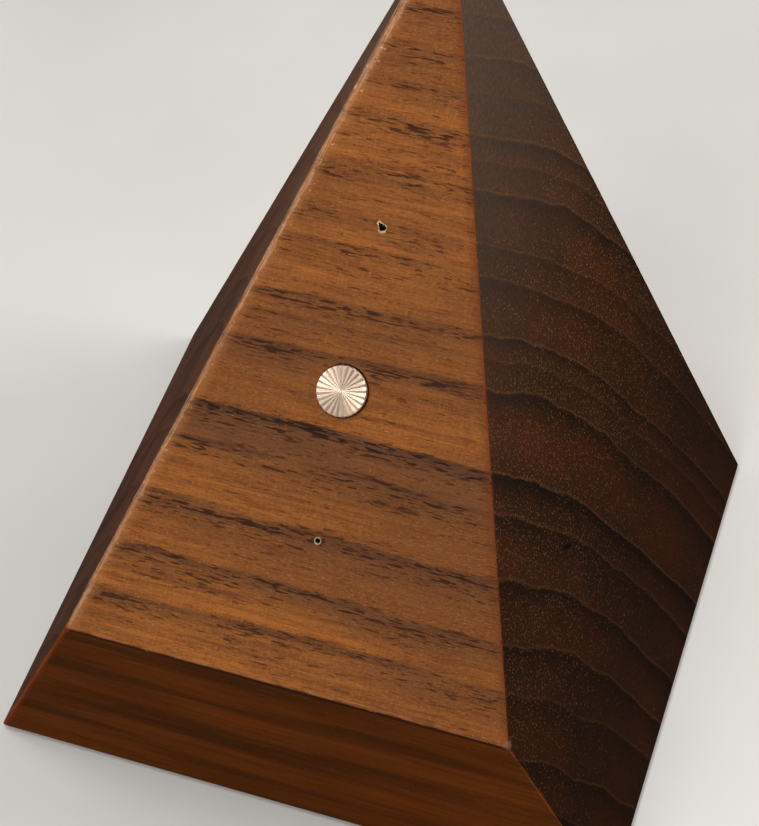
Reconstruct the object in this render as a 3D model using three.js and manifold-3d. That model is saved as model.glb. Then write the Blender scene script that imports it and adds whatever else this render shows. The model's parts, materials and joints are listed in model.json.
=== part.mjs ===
// Desk metronome in one walnut block.
// Frame: millimetres, +Z up, +X right, +Y to the rear; origin on the table under the middle of the base.
import * as THREE from 'three';
import { mergeVertices } from 'three/addons/utils/BufferGeometryUtils.js';
import { ConvexGeometry } from 'three/addons/geometries/ConvexGeometry.js';
import Module from 'manifold-3d';

const wasm = await Module();
wasm.setup();

// ---- driving dimensions (mm) ----
const BASE_W = 104;        // width at the base, left to right
const BASE_D = 88;         // depth, front to rear
const BLOCK_H = 115.2;     // height of the walnut block, base to apex
const BAND_H = 37.8;       // height of the upright front band
const STAND = 1.0;         // the feet hold the block this far off the table
const SIDE_WALL = 8.0;     // wall square to the leaning side faces
const END_WALL = 9.0;      // front band wall and rear wall
const FACE_WALL = 8.0;     // wall square to the sloping front face
const CAVITY_TOP = 84;     // inner hollow ends in a small flat at this height above the block's base
const BOSS_X = 31, BOSS_Y = 24, BOSS_H = 14;   // solid corner bosses left in the hollow
const REBATE_X = 46, REBATE_Y = 38, REBATE_H = 3.0;   // rebate for the base plate
const PLATE_GAP = 0.3, PLATE_LO = 0.4, PLATE_HI = 2.95;
const SCREW_X = 37, SCREW_Y = 30;
const FOOT_X = 39, FOOT_Y = 19, FOOT_R = 5.0, FOOT_TOP = 1.9;
const KNOB_S = 44.7;       // tempo knob, distance up the sloping face from the band
const UPPER_S = 69.2, LOWER_S = 22.3;  // the two lamp pinholes, same measure
const KNOB_X = -0.55, UPPER_X = 0, LOWER_X = 0.6;   // drilled by hand, a little off the centre line
const KNOB_R = 3.86, KNOB_T = 1.0, KNOB_LIFT = 0.1, PRESS = 0.6;
const SINK_R = 3.99, SINK_D = 0.8;     // shallow pocket that the pressed knob drops into
const UPPER_HOLE_R = 0.42, LOWER_HOLE_R = 0.34;
const STEM_R = 1.5, BUSH_ID = 1.62, BUSH_OD = 3.0;
const BOARD_Z = -14.6, BOARD_T = 1.6;  // board's front side, below the sloping face
const SPK_X = 0, SPK_Y = -13;
const SW_X = 24, SW_Y = -18, SW_TRAVEL = 3.0;
const BAY_Y0 = 6.4, BAY_Y1 = 30.0, BAY_X = 24.6;      // battery opening in the base plate
const HINGE_Y = 28.4, HINGE_Z = 1.4;

const HALF_W = BASE_W / 2, HALF_D = BASE_D / 2;
const SLOPE = Math.atan2(BLOCK_H - BAND_H, BASE_D);
const sideX = (z) => HALF_W * (1 - z / BLOCK_H);
const LEAN = Math.atan2(HALF_W, BLOCK_H);
const sideIn = (z) => sideX(z) - SIDE_WALL / Math.cos(LEAN);

// ---- geometry helpers ----
function clean(g) {
  const c = g.index ? g.clone() : g.clone();
  for (const k of Object.keys(c.attributes)) if (k !== 'position') c.deleteAttribute(k);
  c.clearGroups();
  const m = mergeVertices(c, 1e-4);
  const idx = m.index.array, p = m.attributes.position.array;
  const out = [];
  let vol = 0;
  for (let i = 0; i < idx.length; i += 3) {
    const a = idx[i], b = idx[i + 1], d = idx[i + 2];
    if (a === b || b === d || a === d) continue;
    out.push(a, b, d);
    const A = [p[3 * a], p[3 * a + 1], p[3 * a + 2]], B = [p[3 * b], p[3 * b + 1], p[3 * b + 2]], D = [p[3 * d], p[3 * d + 1], p[3 * d + 2]];
    vol += A[0] * (B[1] * D[2] - B[2] * D[1]) - A[1] * (B[0] * D[2] - B[2] * D[0]) + A[2] * (B[0] * D[1] - B[1] * D[0]);
  }
  if (vol < 0) for (let i = 0; i < out.length; i += 3) { const t = out[i + 1]; out[i + 1] = out[i + 2]; out[i + 2] = t; }
  m.setIndex(out);
  return m;
}
const solid = (g) => {
  const m = clean(g);
  return new wasm.Manifold(new wasm.Mesh({ numProp: 3, vertProperties: new Float32Array(m.attributes.position.array), triVerts: new Uint32Array(m.index.array) }));
};
const back = (man) => {
  const m = man.getMesh();
  const g = new THREE.BufferGeometry();
  g.setAttribute('position', new THREE.BufferAttribute(new Float32Array(m.vertProperties), 3));
  g.setIndex(new THREE.BufferAttribute(new Uint32Array(m.triVerts), 1));
  return g;
};
const cut = (g, ...tools) => { let m = solid(g); for (const t of tools) m = m.subtract(solid(t)); return back(m); };
const join = (g, ...more) => { let m = solid(g); for (const t of more) m = m.add(solid(t)); return back(m); };
const box = (x0, x1, y0, y1, z0, z1) => new THREE.BoxGeometry(x1 - x0, y1 - y0, z1 - z0).translate((x0 + x1) / 2, (y0 + y1) / 2, (z0 + z1) / 2);
const cyl = (r, z0, z1, x = 0, y = 0, n = 20, rTop = r) => new THREE.CylinderGeometry(rTop, r, z1 - z0, n).rotateX(Math.PI / 2).translate(x, y, (z0 + z1) / 2);
const cylX = (r, x0, x1, y, z, n = 12) => new THREE.CylinderGeometry(r, r, x1 - x0, n).rotateZ(Math.PI / 2).translate((x0 + x1) / 2, y, z);
const lathe = (pts, n = 24, x = 0, y = 0) => new THREE.LatheGeometry(pts.map(([r, z]) => new THREE.Vector2(r, z)), n).rotateX(Math.PI / 2).translate(x, y, 0);
const ring = (r0, r1, z0, z1, x = 0, y = 0, n = 20) => lathe([[r0, z0], [r1, z0], [r1, z1], [r0, z1], [r0, z0]], n, x, y);
const rounded = (hx, hy, r, z0, z1, x = 0, y = 0) => {
  const s = new THREE.Shape();
  s.moveTo(-hx + r, -hy); s.lineTo(hx - r, -hy); s.absarc(hx - r, -hy + r, r, -Math.PI / 2, 0);
  s.lineTo(hx, hy - r); s.absarc(hx - r, hy - r, r, 0, Math.PI / 2);
  s.lineTo(-hx + r, hy); s.absarc(-hx + r, hy - r, r, Math.PI / 2, Math.PI);
  s.lineTo(-hx, -hy + r); s.absarc(-hx + r, -hy + r, r, Math.PI, 1.5 * Math.PI);
  return new THREE.ExtrudeGeometry(s, { depth: z1 - z0, bevelEnabled: false, curveSegments: 4 }).translate(x, y, z0);
};
const tube = (pts, r, sides = 6, steps = 26) => {
  const s = new THREE.Shape();
  for (let i = 0; i < sides; i++) { const a = 2 * Math.PI * i / sides; (i ? s.lineTo : s.moveTo).call(s, r * Math.cos(a), r * Math.sin(a)); }
  s.closePath();
  return new THREE.ExtrudeGeometry(s, { steps, extrudePath: new THREE.CatmullRomCurve3(pts.map((q) => new THREE.Vector3(...q)), false, 'centripetal') });
};

// ---- materials ----
const mat = (color, roughness, metalness = 0, extra = {}) => new THREE.MeshStandardMaterial({ color, roughness, metalness, ...extra });
const M = {
  walnut: mat(0x8a4e24, 0.5), plate: mat(0x1c1b1a, 0.7), steel: mat(0xb8b8b6, 0.35, 1), brass: mat(0xd9c19a, 0.28, 1),
  insert: mat(0xb08a45, 0.4, 1), rubber: mat(0x171717, 0.9), board: mat(0x1d5a38, 0.45), chip: mat(0x202022, 0.5),
  lamp: mat(0xf2efe2, 0.2), clear: mat(0xe8f0f0, 0.08, 0, { transparent: true, opacity: 0.5 }), cell: mat(0x3a3d42, 0.35, 0.6),
  spring: mat(0xd4d4d2, 0.25, 1), white: mat(0xe8e4d8, 0.5), cone: mat(0x2a2a2c, 0.7), magnet: mat(0x8e9094, 0.4, 0.9),
  red: mat(0xa52018, 0.5), black: mat(0x18181a, 0.5), grey: mat(0x55585c, 0.55),
};

const group = new THREE.Group();
const piece = (name, geometry, material, parent) => {
  const m = new THREE.Mesh(clean(geometry), material);
  m.name = name; parent.add(m); return m;
};

// the block's own group stands STAND above the table; z in it is the height above the block's base
const block = new THREE.Group();
block.position.set(0, 0, STAND);
group.add(block);
// the sloping face's group: origin at the knob's centre on the face, +Z out of the face, +Y up the slope
const face = new THREE.Group();
face.position.set(KNOB_X, -HALF_D + KNOB_S * Math.cos(SLOPE), BAND_H + KNOB_S * Math.sin(SLOPE));
face.rotation.x = SLOPE;
block.add(face);
face.updateMatrix();
const onFace = (g) => g.applyMatrix4(face.matrix);
const upperY = UPPER_S - KNOB_S, lowerY = LOWER_S - KNOB_S;
const upperX = UPPER_X - KNOB_X, lowerX = LOWER_X - KNOB_X;
const spacerAt = [[-17, -26.7], [17, -26.7], [-7.5, 15.3], [7.5, 15.3]];

// ---- walnut block ----
{
  const outer = new ConvexGeometry([
    [-HALF_W, -HALF_D, 0], [HALF_W, -HALF_D, 0], [-HALF_W, HALF_D, 0], [HALF_W, HALF_D, 0],
    [-sideX(BAND_H), -HALF_D, BAND_H], [sideX(BAND_H), -HALF_D, BAND_H], [0, HALF_D, BLOCK_H],
  ].map((q) => new THREE.Vector3(...q)));
  const yi = HALF_D - END_WALL;
  const drop = FACE_WALL / Math.cos(SLOPE);
  const zin = (y) => BAND_H + (y + HALF_D) * Math.tan(SLOPE) - drop;
  const zf = zin(-yi);
  const yt = -HALF_D + (CAVITY_TOP + drop - BAND_H) / Math.tan(SLOPE);
  const hollow = new ConvexGeometry([
    [-sideIn(-1), -yi, -1], [sideIn(-1), -yi, -1], [-sideIn(-1), yi, -1], [sideIn(-1), yi, -1],
    [-sideIn(zf), -yi, zf], [sideIn(zf), -yi, zf],
    [-sideIn(CAVITY_TOP), yt, CAVITY_TOP], [sideIn(CAVITY_TOP), yt, CAVITY_TOP],
    [-sideIn(CAVITY_TOP), yi, CAVITY_TOP], [sideIn(CAVITY_TOP), yi, CAVITY_TOP],
  ].map((q) => new THREE.Vector3(...q)));
  let cavity = solid(hollow);
  for (const sx of [-1, 1]) for (const sy of [-1, 1]) {
    const b = box(Math.min(sx * BOSS_X, sx * 60), Math.max(sx * BOSS_X, sx * 60), Math.min(sy * BOSS_Y, sy * 60), Math.max(sy * BOSS_Y, sy * 60), -2, BOSS_H);
    cavity = cavity.subtract(solid(b));
  }
  let w = solid(outer).subtract(cavity).subtract(solid(rounded(REBATE_X, REBATE_Y, 4, -1, REBATE_H)));
  for (const sx of [-1, 1]) for (const sy of [-1, 1]) w = w.subtract(solid(cyl(2.3, 2, 10, sx * SCREW_X, sy * SCREW_Y)));
  w = w.subtract(solid(onFace(cyl(SINK_R, -SINK_D, 2, 0, 0, 32))));
  w = w.subtract(solid(onFace(cyl(BUSH_OD + 0.12, -10, 1, 0, 0))));
  w = w.subtract(solid(onFace(cyl(UPPER_HOLE_R, -3, 1, upperX, upperY, 14))));
  w = w.subtract(solid(onFace(cyl(1.68, -10, -2, upperX, upperY))));
  w = w.subtract(solid(onFace(cyl(LOWER_HOLE_R, -3, 1, lowerX, lowerY, 14))));
  w = w.subtract(solid(onFace(cyl(1.68, -10, -2, lowerX, lowerY))));
  for (const [x, y] of spacerAt) w = w.subtract(solid(onFace(cyl(1.36, -10, -3.6, x, y, 16))));
  piece('walnut_body', back(w), M.walnut, block);
}

// ---- base plate, feet, screws ----
{
  const cutters = [];
  for (const sx of [-1, 1]) for (const sy of [-1, 1]) {
    cutters.push(cyl(1.62, -1, 5, sx * SCREW_X, sy * SCREW_Y));
    cutters.push(cyl(3.05, PLATE_LO - 0.01, 1.85, sx * SCREW_X, sy * SCREW_Y, 20, 1.65));
    cutters.push(cyl(FOOT_R + 0.15, PLATE_LO - 1, FOOT_TOP - STAND + 0.05, sx * FOOT_X, sy * FOOT_Y, 24));
  }
  for (const [dy, half] of [[-8, 6], [-4, 9], [0, 10], [4, 9], [8, 6]]) cutters.push(rounded(half, 1.0, 0.98, -1, 5, SPK_X, SPK_Y + dy));
  cutters.push(box(SW_X - 3.9, SW_X + 3.9, SW_Y - 1.5, SW_Y + 1.5, -1, 5));
  cutters.push(box(-BAY_X, BAY_X, BAY_Y0, BAY_Y1, -1, 5));
  cutters.push(cylX(0.92, -BAY_X - 1.5, BAY_X + 1.5, HINGE_Y, HINGE_Z));
  cutters.push(rounded(7, 1.9, 1.85, -1, 1.5, 0, BAY_Y0 - 1.2));
  piece('base_plate', cut(rounded(REBATE_X - PLATE_GAP, REBATE_Y - PLATE_GAP, 4 - PLATE_GAP, PLATE_LO, PLATE_HI), ...cutters), M.plate, block);
}
let n = 0;
for (const sy of [-1, 1]) for (const sx of [-1, 1]) {
  n += 1;
  const x = sx * SCREW_X, y = sy * SCREW_Y;
  piece('base_screw_' + n, cut(lathe([[0, 0.45], [2.8, 0.45], [1.42, 1.8], [1.42, 9.2], [1.0, 9.6], [0, 9.6]], 20, x, y),
    cyl(1.0, 0, 1.55, x, y, 6)), M.steel, block);
  piece('threaded_insert_' + n, ring(1.52, 2.2, 3.05, 9.0, x, y), M.insert, block);
  piece('foot_' + n, lathe([[0, 0], [FOOT_R - 0.35, 0], [FOOT_R, 0.35], [FOOT_R, FOOT_TOP], [0, FOOT_TOP]], 24, sx * FOOT_X, sy * FOOT_Y), M.rubber, group);
}

// ---- battery bay ----
{
  const y0 = 5.2, y1 = 30.9, zt = 17.2;
  const tray = cut(box(-26.4, 26.4, y0, y1, 3.05, zt), box(-24.75, 24.75, 6.5, 29.6, 2, 15.4), box(-2, 2, 4, 7, 13.2, 14.6));
  piece('battery_tray', tray, M.plate, block);
  const cellAt = [[12.15, 1], [23.85, -1]];
  cellAt.forEach(([y, s], i) => {
    const zc = 9.6, k = i + 1;
    const cell = lathe([[0, -20.2], [3.6, -20.2], [4.9, -20.0], [5.25, -19.6], [5.25, 22.7], [4.8, 23.1], [1.95, 23.1], [1.95, 24.05], [1.7, 24.2], [0, 24.2]], 24);
    cell.rotateY(s > 0 ? Math.PI / 2 : -Math.PI / 2).translate(0, y, zc);
    piece('battery_cell_' + k, cell, M.cell, block);
    // nickel plate with its coil spring, wound in one piece with it
    const pts = [];
    const turns = 3.5, N = 36;
    for (let j = 0; j <= N; j++) {
      const t = j / N, a = 2 * Math.PI * turns * t, r = 3.4 - 1.2 * t;
      pts.push([-s * (24.25 - 3.6 * t), y + r * Math.cos(a), zc + r * Math.sin(a)]);
    }
    const x0 = -s * 24.65, x1 = -s * 24.2;
    const plate = box(Math.min(x0, x1), Math.max(x0, x1), y - 4.6, y + 4.6, 5.2, 14.2);
    piece('battery_spring_' + k, join(plate, tube(pts, 0.28, 5, 44)), M.spring, block);
    const x2 = s * 24.3, x3 = s * 24.65;
    piece('battery_contact_' + k, box(Math.min(x2, x3), Math.max(x2, x3), y - 4.4, y + 4.4, 5.2, 14.2), M.spring, block);
  });
  // door: pegs at its rear edge turn in holes in the plate's opening, snap tongue at its front edge
  const leaf = join(
    box(-24.2, 24.2, 6.85, HINGE_Y, PLATE_LO, 2.4),
    cylX(1.0, -24.2, 24.2, HINGE_Y, HINGE_Z, 16),
    cylX(0.75, -25.7, 25.7, HINGE_Y, HINGE_Z, 12),
    box(-5, 5, 6.56, 7.2, 1.7, 2.4));
  const ribs = [-6, -3, 0, 3, 6].map((dx) => box(dx - 0.5, dx + 0.5, 8.4, 12.0, PLATE_LO - 1, PLATE_LO + 0.35));
  piece('battery_door', cut(leaf, ...ribs), M.plate, block);
}

// ---- speaker, facing down over the slots ----
piece('speaker_gasket', ring(12.4, 15.0, 3.0, 3.5, SPK_X, SPK_Y, 28), M.rubber, block);
piece('speaker_frame', lathe([[12.6, 3.55], [15, 3.55], [15, 4.35], [13.5, 4.35], [9.6, 8.0], [9.6, 9.4], [6.5, 9.4], [6.5, 8.6], [8.8, 8.6], [8.8, 7.9], [12.6, 4.1], [12.6, 3.55]], 28, SPK_X, SPK_Y), M.grey, block);
piece('speaker_magnet', lathe([[0, 9.45], [5.0, 9.45], [5.0, 11.7], [6.3, 11.7], [6.3, 9.45], [8.6, 9.45], [8.6, 13.0], [0, 13.0]], 28, SPK_X, SPK_Y), M.magnet, block);
piece('speaker_cone', lathe([[0, 6.3], [2.5, 6.5], [4.6, 7.1], [5.6, 7.55], [10.6, 4.6], [11.2, 4.5], [11.2, 4.8], [10.7, 4.95], [5.9, 7.95], [5.9, 11.0], [5.4, 11.0], [5.4, 7.9], [4.5, 7.45], [2.5, 6.85], [0, 6.65]], 28, SPK_X, SPK_Y), M.cone, block);

// ---- power switch ----
piece('power_switch_body', cut(box(SW_X - 7, SW_X + 7, SW_Y - 3.5, SW_Y + 3.5, 3.0, 8.5), box(SW_X - 5, SW_X + 5, SW_Y - 2.1, SW_Y + 2.1, 2, 6.0)), M.black, block);
{
  const x = SW_X - SW_TRAVEL / 2;
  piece('power_switch_slider', join(box(x - 3.2, x + 3.2, SW_Y - 1.8, SW_Y + 1.8, 3.25, 5.6), box(x - 1.8, x + 1.8, SW_Y - 1.1, SW_Y + 1.1, 0.45, 4)), M.white, block);
}

// ---- tempo knob and encoder, in the face's group ----
piece('tempo_knob', lathe([[0, KNOB_LIFT], [KNOB_R - 0.15, KNOB_LIFT], [KNOB_R, KNOB_LIFT + 0.15], [KNOB_R, KNOB_LIFT + KNOB_T - 0.2], [KNOB_R - 0.2, KNOB_LIFT + KNOB_T], [0, KNOB_LIFT + KNOB_T]], 32), M.brass, face);
piece('knob_stem', cyl(STEM_R, -12.35, KNOB_LIFT - 0.03), M.steel, face);
piece('encoder_rotor', ring(STEM_R + 0.05, 3.5, -11.3, -10.5), M.white, face);
piece('knob_bush', lathe([[BUSH_ID, -9.1], [4.2, -9.1], [4.2, -8.15], [BUSH_OD, -8.15], [BUSH_OD, -0.9], [BUSH_ID, -0.9], [BUSH_ID, -9.1]], 20), M.insert, face);
piece('encoder_body', cut(box(-5.5, 5.5, -5.5, 5.5, -14.55, -10.2), cyl(4.0, -12.1, -9), cyl(2.3, -13.9, -9)), M.black, face);
piece('encoder_cover', cut(box(-5.5, 5.5, -5.5, 5.5, -10.15, -9.6), cyl(1.75, -11, -9)), M.steel, face);
piece('switch_plunger', cyl(2.1, -13.1, -12.4), M.white, face);
piece('switch_dome', lathe([[0, -13.78], [1.2, -13.8], [2.0, -13.88], [2.0, -13.82], [1.2, -13.74], [0, -13.72]], 16), M.spring, face);

// ---- main board, spacers, screws ----
{
  const y0 = 14 - KNOB_S, y1 = 74 - KNOB_S;
  const s = new THREE.Shape();
  s.moveTo(-22, y0); s.lineTo(22, y0); s.lineTo(7.5, y1); s.lineTo(-7.5, y1); s.closePath();
  const slab = new THREE.ExtrudeGeometry(s, { depth: BOARD_T, bevelEnabled: false }).translate(0, 0, BOARD_Z - BOARD_T);
  piece('main_board', cut(slab, ...spacerAt.map(([x, y]) => cyl(1.45, BOARD_Z - 3, BOARD_Z + 1, x, y, 16))), M.board, face);
  spacerAt.forEach(([x, y], i) => {
    piece('board_spacer_' + (i + 1), ring(1.4, 2.5, BOARD_Z + 0.05, -FACE_WALL - 0.05, x, y, 16), M.white, face);
    piece('board_screw_' + (i + 1), cut(lathe([[0, -17.8], [1.9, -17.8], [2.3, -17.4], [2.3, -16.25], [1.2, -16.25], [1.2, -4.6], [0, -3.9]], 16, x, y),
      box(x - 1.6, x + 1.6, y - 0.25, y + 0.25, -18, -17.3)), M.steel, face);
  });
  piece('controller_chip', box(-3.5, 3.5, -15.5, -8.5, -17.3, -16.25), M.chip, face);
  piece('quartz_crystal', cylX(1.5, -12.5, -6.5, -12, -17.8), M.steel, face);
  piece('board_connector', box(-6, 6, -28.5, -23.8, -20.3, -16.25), M.white, face);
}

// ---- lamps behind the pinholes ----
for (const [name, x, y] of [['accent', upperX, upperY], ['beat', lowerX, lowerY]]) {
  piece(name + '_led', lathe([[0, -14.55], [1.9, -14.55], [1.9, -13.6], [1.5, -13.6], [1.5, -10.4], [1.35, -9.7], [0.95, -9.2], [0, -8.95]], 16, x, y), M.lamp, face);
  piece(name + '_light_pipe', lathe([[0, -8.6], [1.5, -8.6], [1.5, -2.6], [1.2, -2.3], [0, -2.3]], 16, x, y), M.clear, face);
}

// ---- leads ----
const cy = -15.9, cz = 34.2;   // just below the connector
piece('speaker_lead_1', tube([[-2.4, -23.6, 9.6], [-2.5, -25.2, 14], [-2.2, -24.4, 23], [-1.5, -18.2, 30.5], [-1.2, -15.4, 33.2], [-1.2, cy, cz]], 0.55), M.red, block);
piece('speaker_lead_2', tube([[2.4, -23.6, 9.6], [2.5, -25.2, 14], [2.2, -24.4, 23], [1.5, -18.2, 30.5], [1.2, -15.4, 33.2], [1.2, cy, cz]], 0.55), M.black, block);
piece('battery_lead_1', tube([[-20, 4.5, 12], [-19.6, 2.0, 17], [-15.5, -6, 26], [-7, -14.2, 31.0], [-3.9, -15.2, 33.3], [-3.9, cy, cz]], 0.55), M.red, block);
piece('battery_lead_2', tube([[20, 4.5, 12], [19.6, 2.0, 17], [15.5, -6, 26], [7, -14.2, 31.0], [3.9, -15.2, 33.3], [3.9, cy, cz]], 0.55), M.black, block);

export default group;
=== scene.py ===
import bpy, bmesh, json, math
from mathutils import Vector, Matrix, noise as mnoise


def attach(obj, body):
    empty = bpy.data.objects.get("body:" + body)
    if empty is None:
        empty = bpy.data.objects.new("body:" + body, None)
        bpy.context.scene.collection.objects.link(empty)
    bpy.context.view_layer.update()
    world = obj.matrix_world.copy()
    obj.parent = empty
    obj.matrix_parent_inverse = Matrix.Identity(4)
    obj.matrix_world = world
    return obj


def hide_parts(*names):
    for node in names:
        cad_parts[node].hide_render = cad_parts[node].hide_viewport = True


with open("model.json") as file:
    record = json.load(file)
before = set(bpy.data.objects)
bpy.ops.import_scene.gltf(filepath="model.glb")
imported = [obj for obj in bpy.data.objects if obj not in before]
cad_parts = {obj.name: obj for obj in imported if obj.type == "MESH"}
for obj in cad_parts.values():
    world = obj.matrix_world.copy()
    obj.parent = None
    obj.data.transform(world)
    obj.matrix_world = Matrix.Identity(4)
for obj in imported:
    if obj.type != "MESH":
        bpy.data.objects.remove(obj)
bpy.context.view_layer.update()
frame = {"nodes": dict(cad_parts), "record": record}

# ------------------------------------------------------------------ shape constants (mm, same as the CAD)
HALF_W, HALF_D, BLOCK_H, BAND_H, STAND = 52.0, 44.0, 115.2, 37.8, 1.0
SLOPE = math.atan2(BLOCK_H - BAND_H, 2 * HALF_D)
LEAN = math.atan2(HALF_W, BLOCK_H)
KNOB_S, UPPER_S, LOWER_S = 44.7, 69.2, 22.3
NF = Vector((0, -math.sin(SLOPE), math.cos(SLOPE)))
def side_x(z): return HALF_W * (1 - z / BLOCK_H)
def face_pt(s, x=0.0, h=0.0):
    return Vector((x, -HALF_D + s * math.cos(SLOPE), STAND + BAND_H + s * math.sin(SLOPE))) + NF * h
KNOB_X, UPPER_X, LOWER_X = -.55, 0.0, .6
KNOB_P, UPPER_P, LOWER_P = face_pt(KNOB_S, KNOB_X), face_pt(UPPER_S, UPPER_X), face_pt(LOWER_S, LOWER_X)
P5 = Vector((-side_x(BAND_H), -HALF_D, STAND + BAND_H))
P6 = Vector((side_x(BAND_H), -HALF_D, STAND + BAND_H))
APEX = Vector((0, HALF_D, STAND + BLOCK_H))
FACE_M = Matrix.Translation(KNOB_P) @ Matrix.Rotation(SLOPE, 4, 'X')
CRACK = (33.8, -9.3, 41.2)      # a short seasoning crack on the right slope

# ------------------------------------------------------------------ camera
def make_camera():
    b = 0.052
    az, el, roll = math.radians(20.84), math.radians(52.05), math.radians(-3.11)
    D, F, tx, ty = 7.747 * b, 2346.9, -0.0126 * b, 0.5841 * b
    back = Vector((math.sin(az) * math.cos(el), -math.cos(az) * math.cos(el), math.sin(el)))
    right = (-back).cross(Vector((0, 0, 1))).normalized()
    up = right.cross(-back)
    R = right * math.cos(roll) + up * math.sin(roll)
    U = -right * math.sin(roll) + up * math.cos(roll)
    C = back * D + R * tx + U * ty + Vector((0, 0, 0.001))
    cam = bpy.data.cameras.new("camera")
    cam.sensor_width = 36.0
    cam.lens = F / 826.0 * 36.0
    cam.clip_start = 0.01
    ob = bpy.data.objects.new("camera", cam)
    m = Matrix((R, U, back)).transposed().to_4x4()
    m.translation = C
    ob.matrix_world = m
    bpy.context.collection.objects.link(ob)
    bpy.context.scene.camera = ob
    bpy.context.scene.view_settings.view_transform = 'Standard'
make_camera()

# ------------------------------------------------------------------ node helper
def srgb(r, g, b):
    f = lambda c: (c / 255 / 12.92) if c <= 10.3 else ((c / 255 + 0.055) / 1.055) ** 2.4
    return (f(r), f(g), f(b), 1.0)

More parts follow.
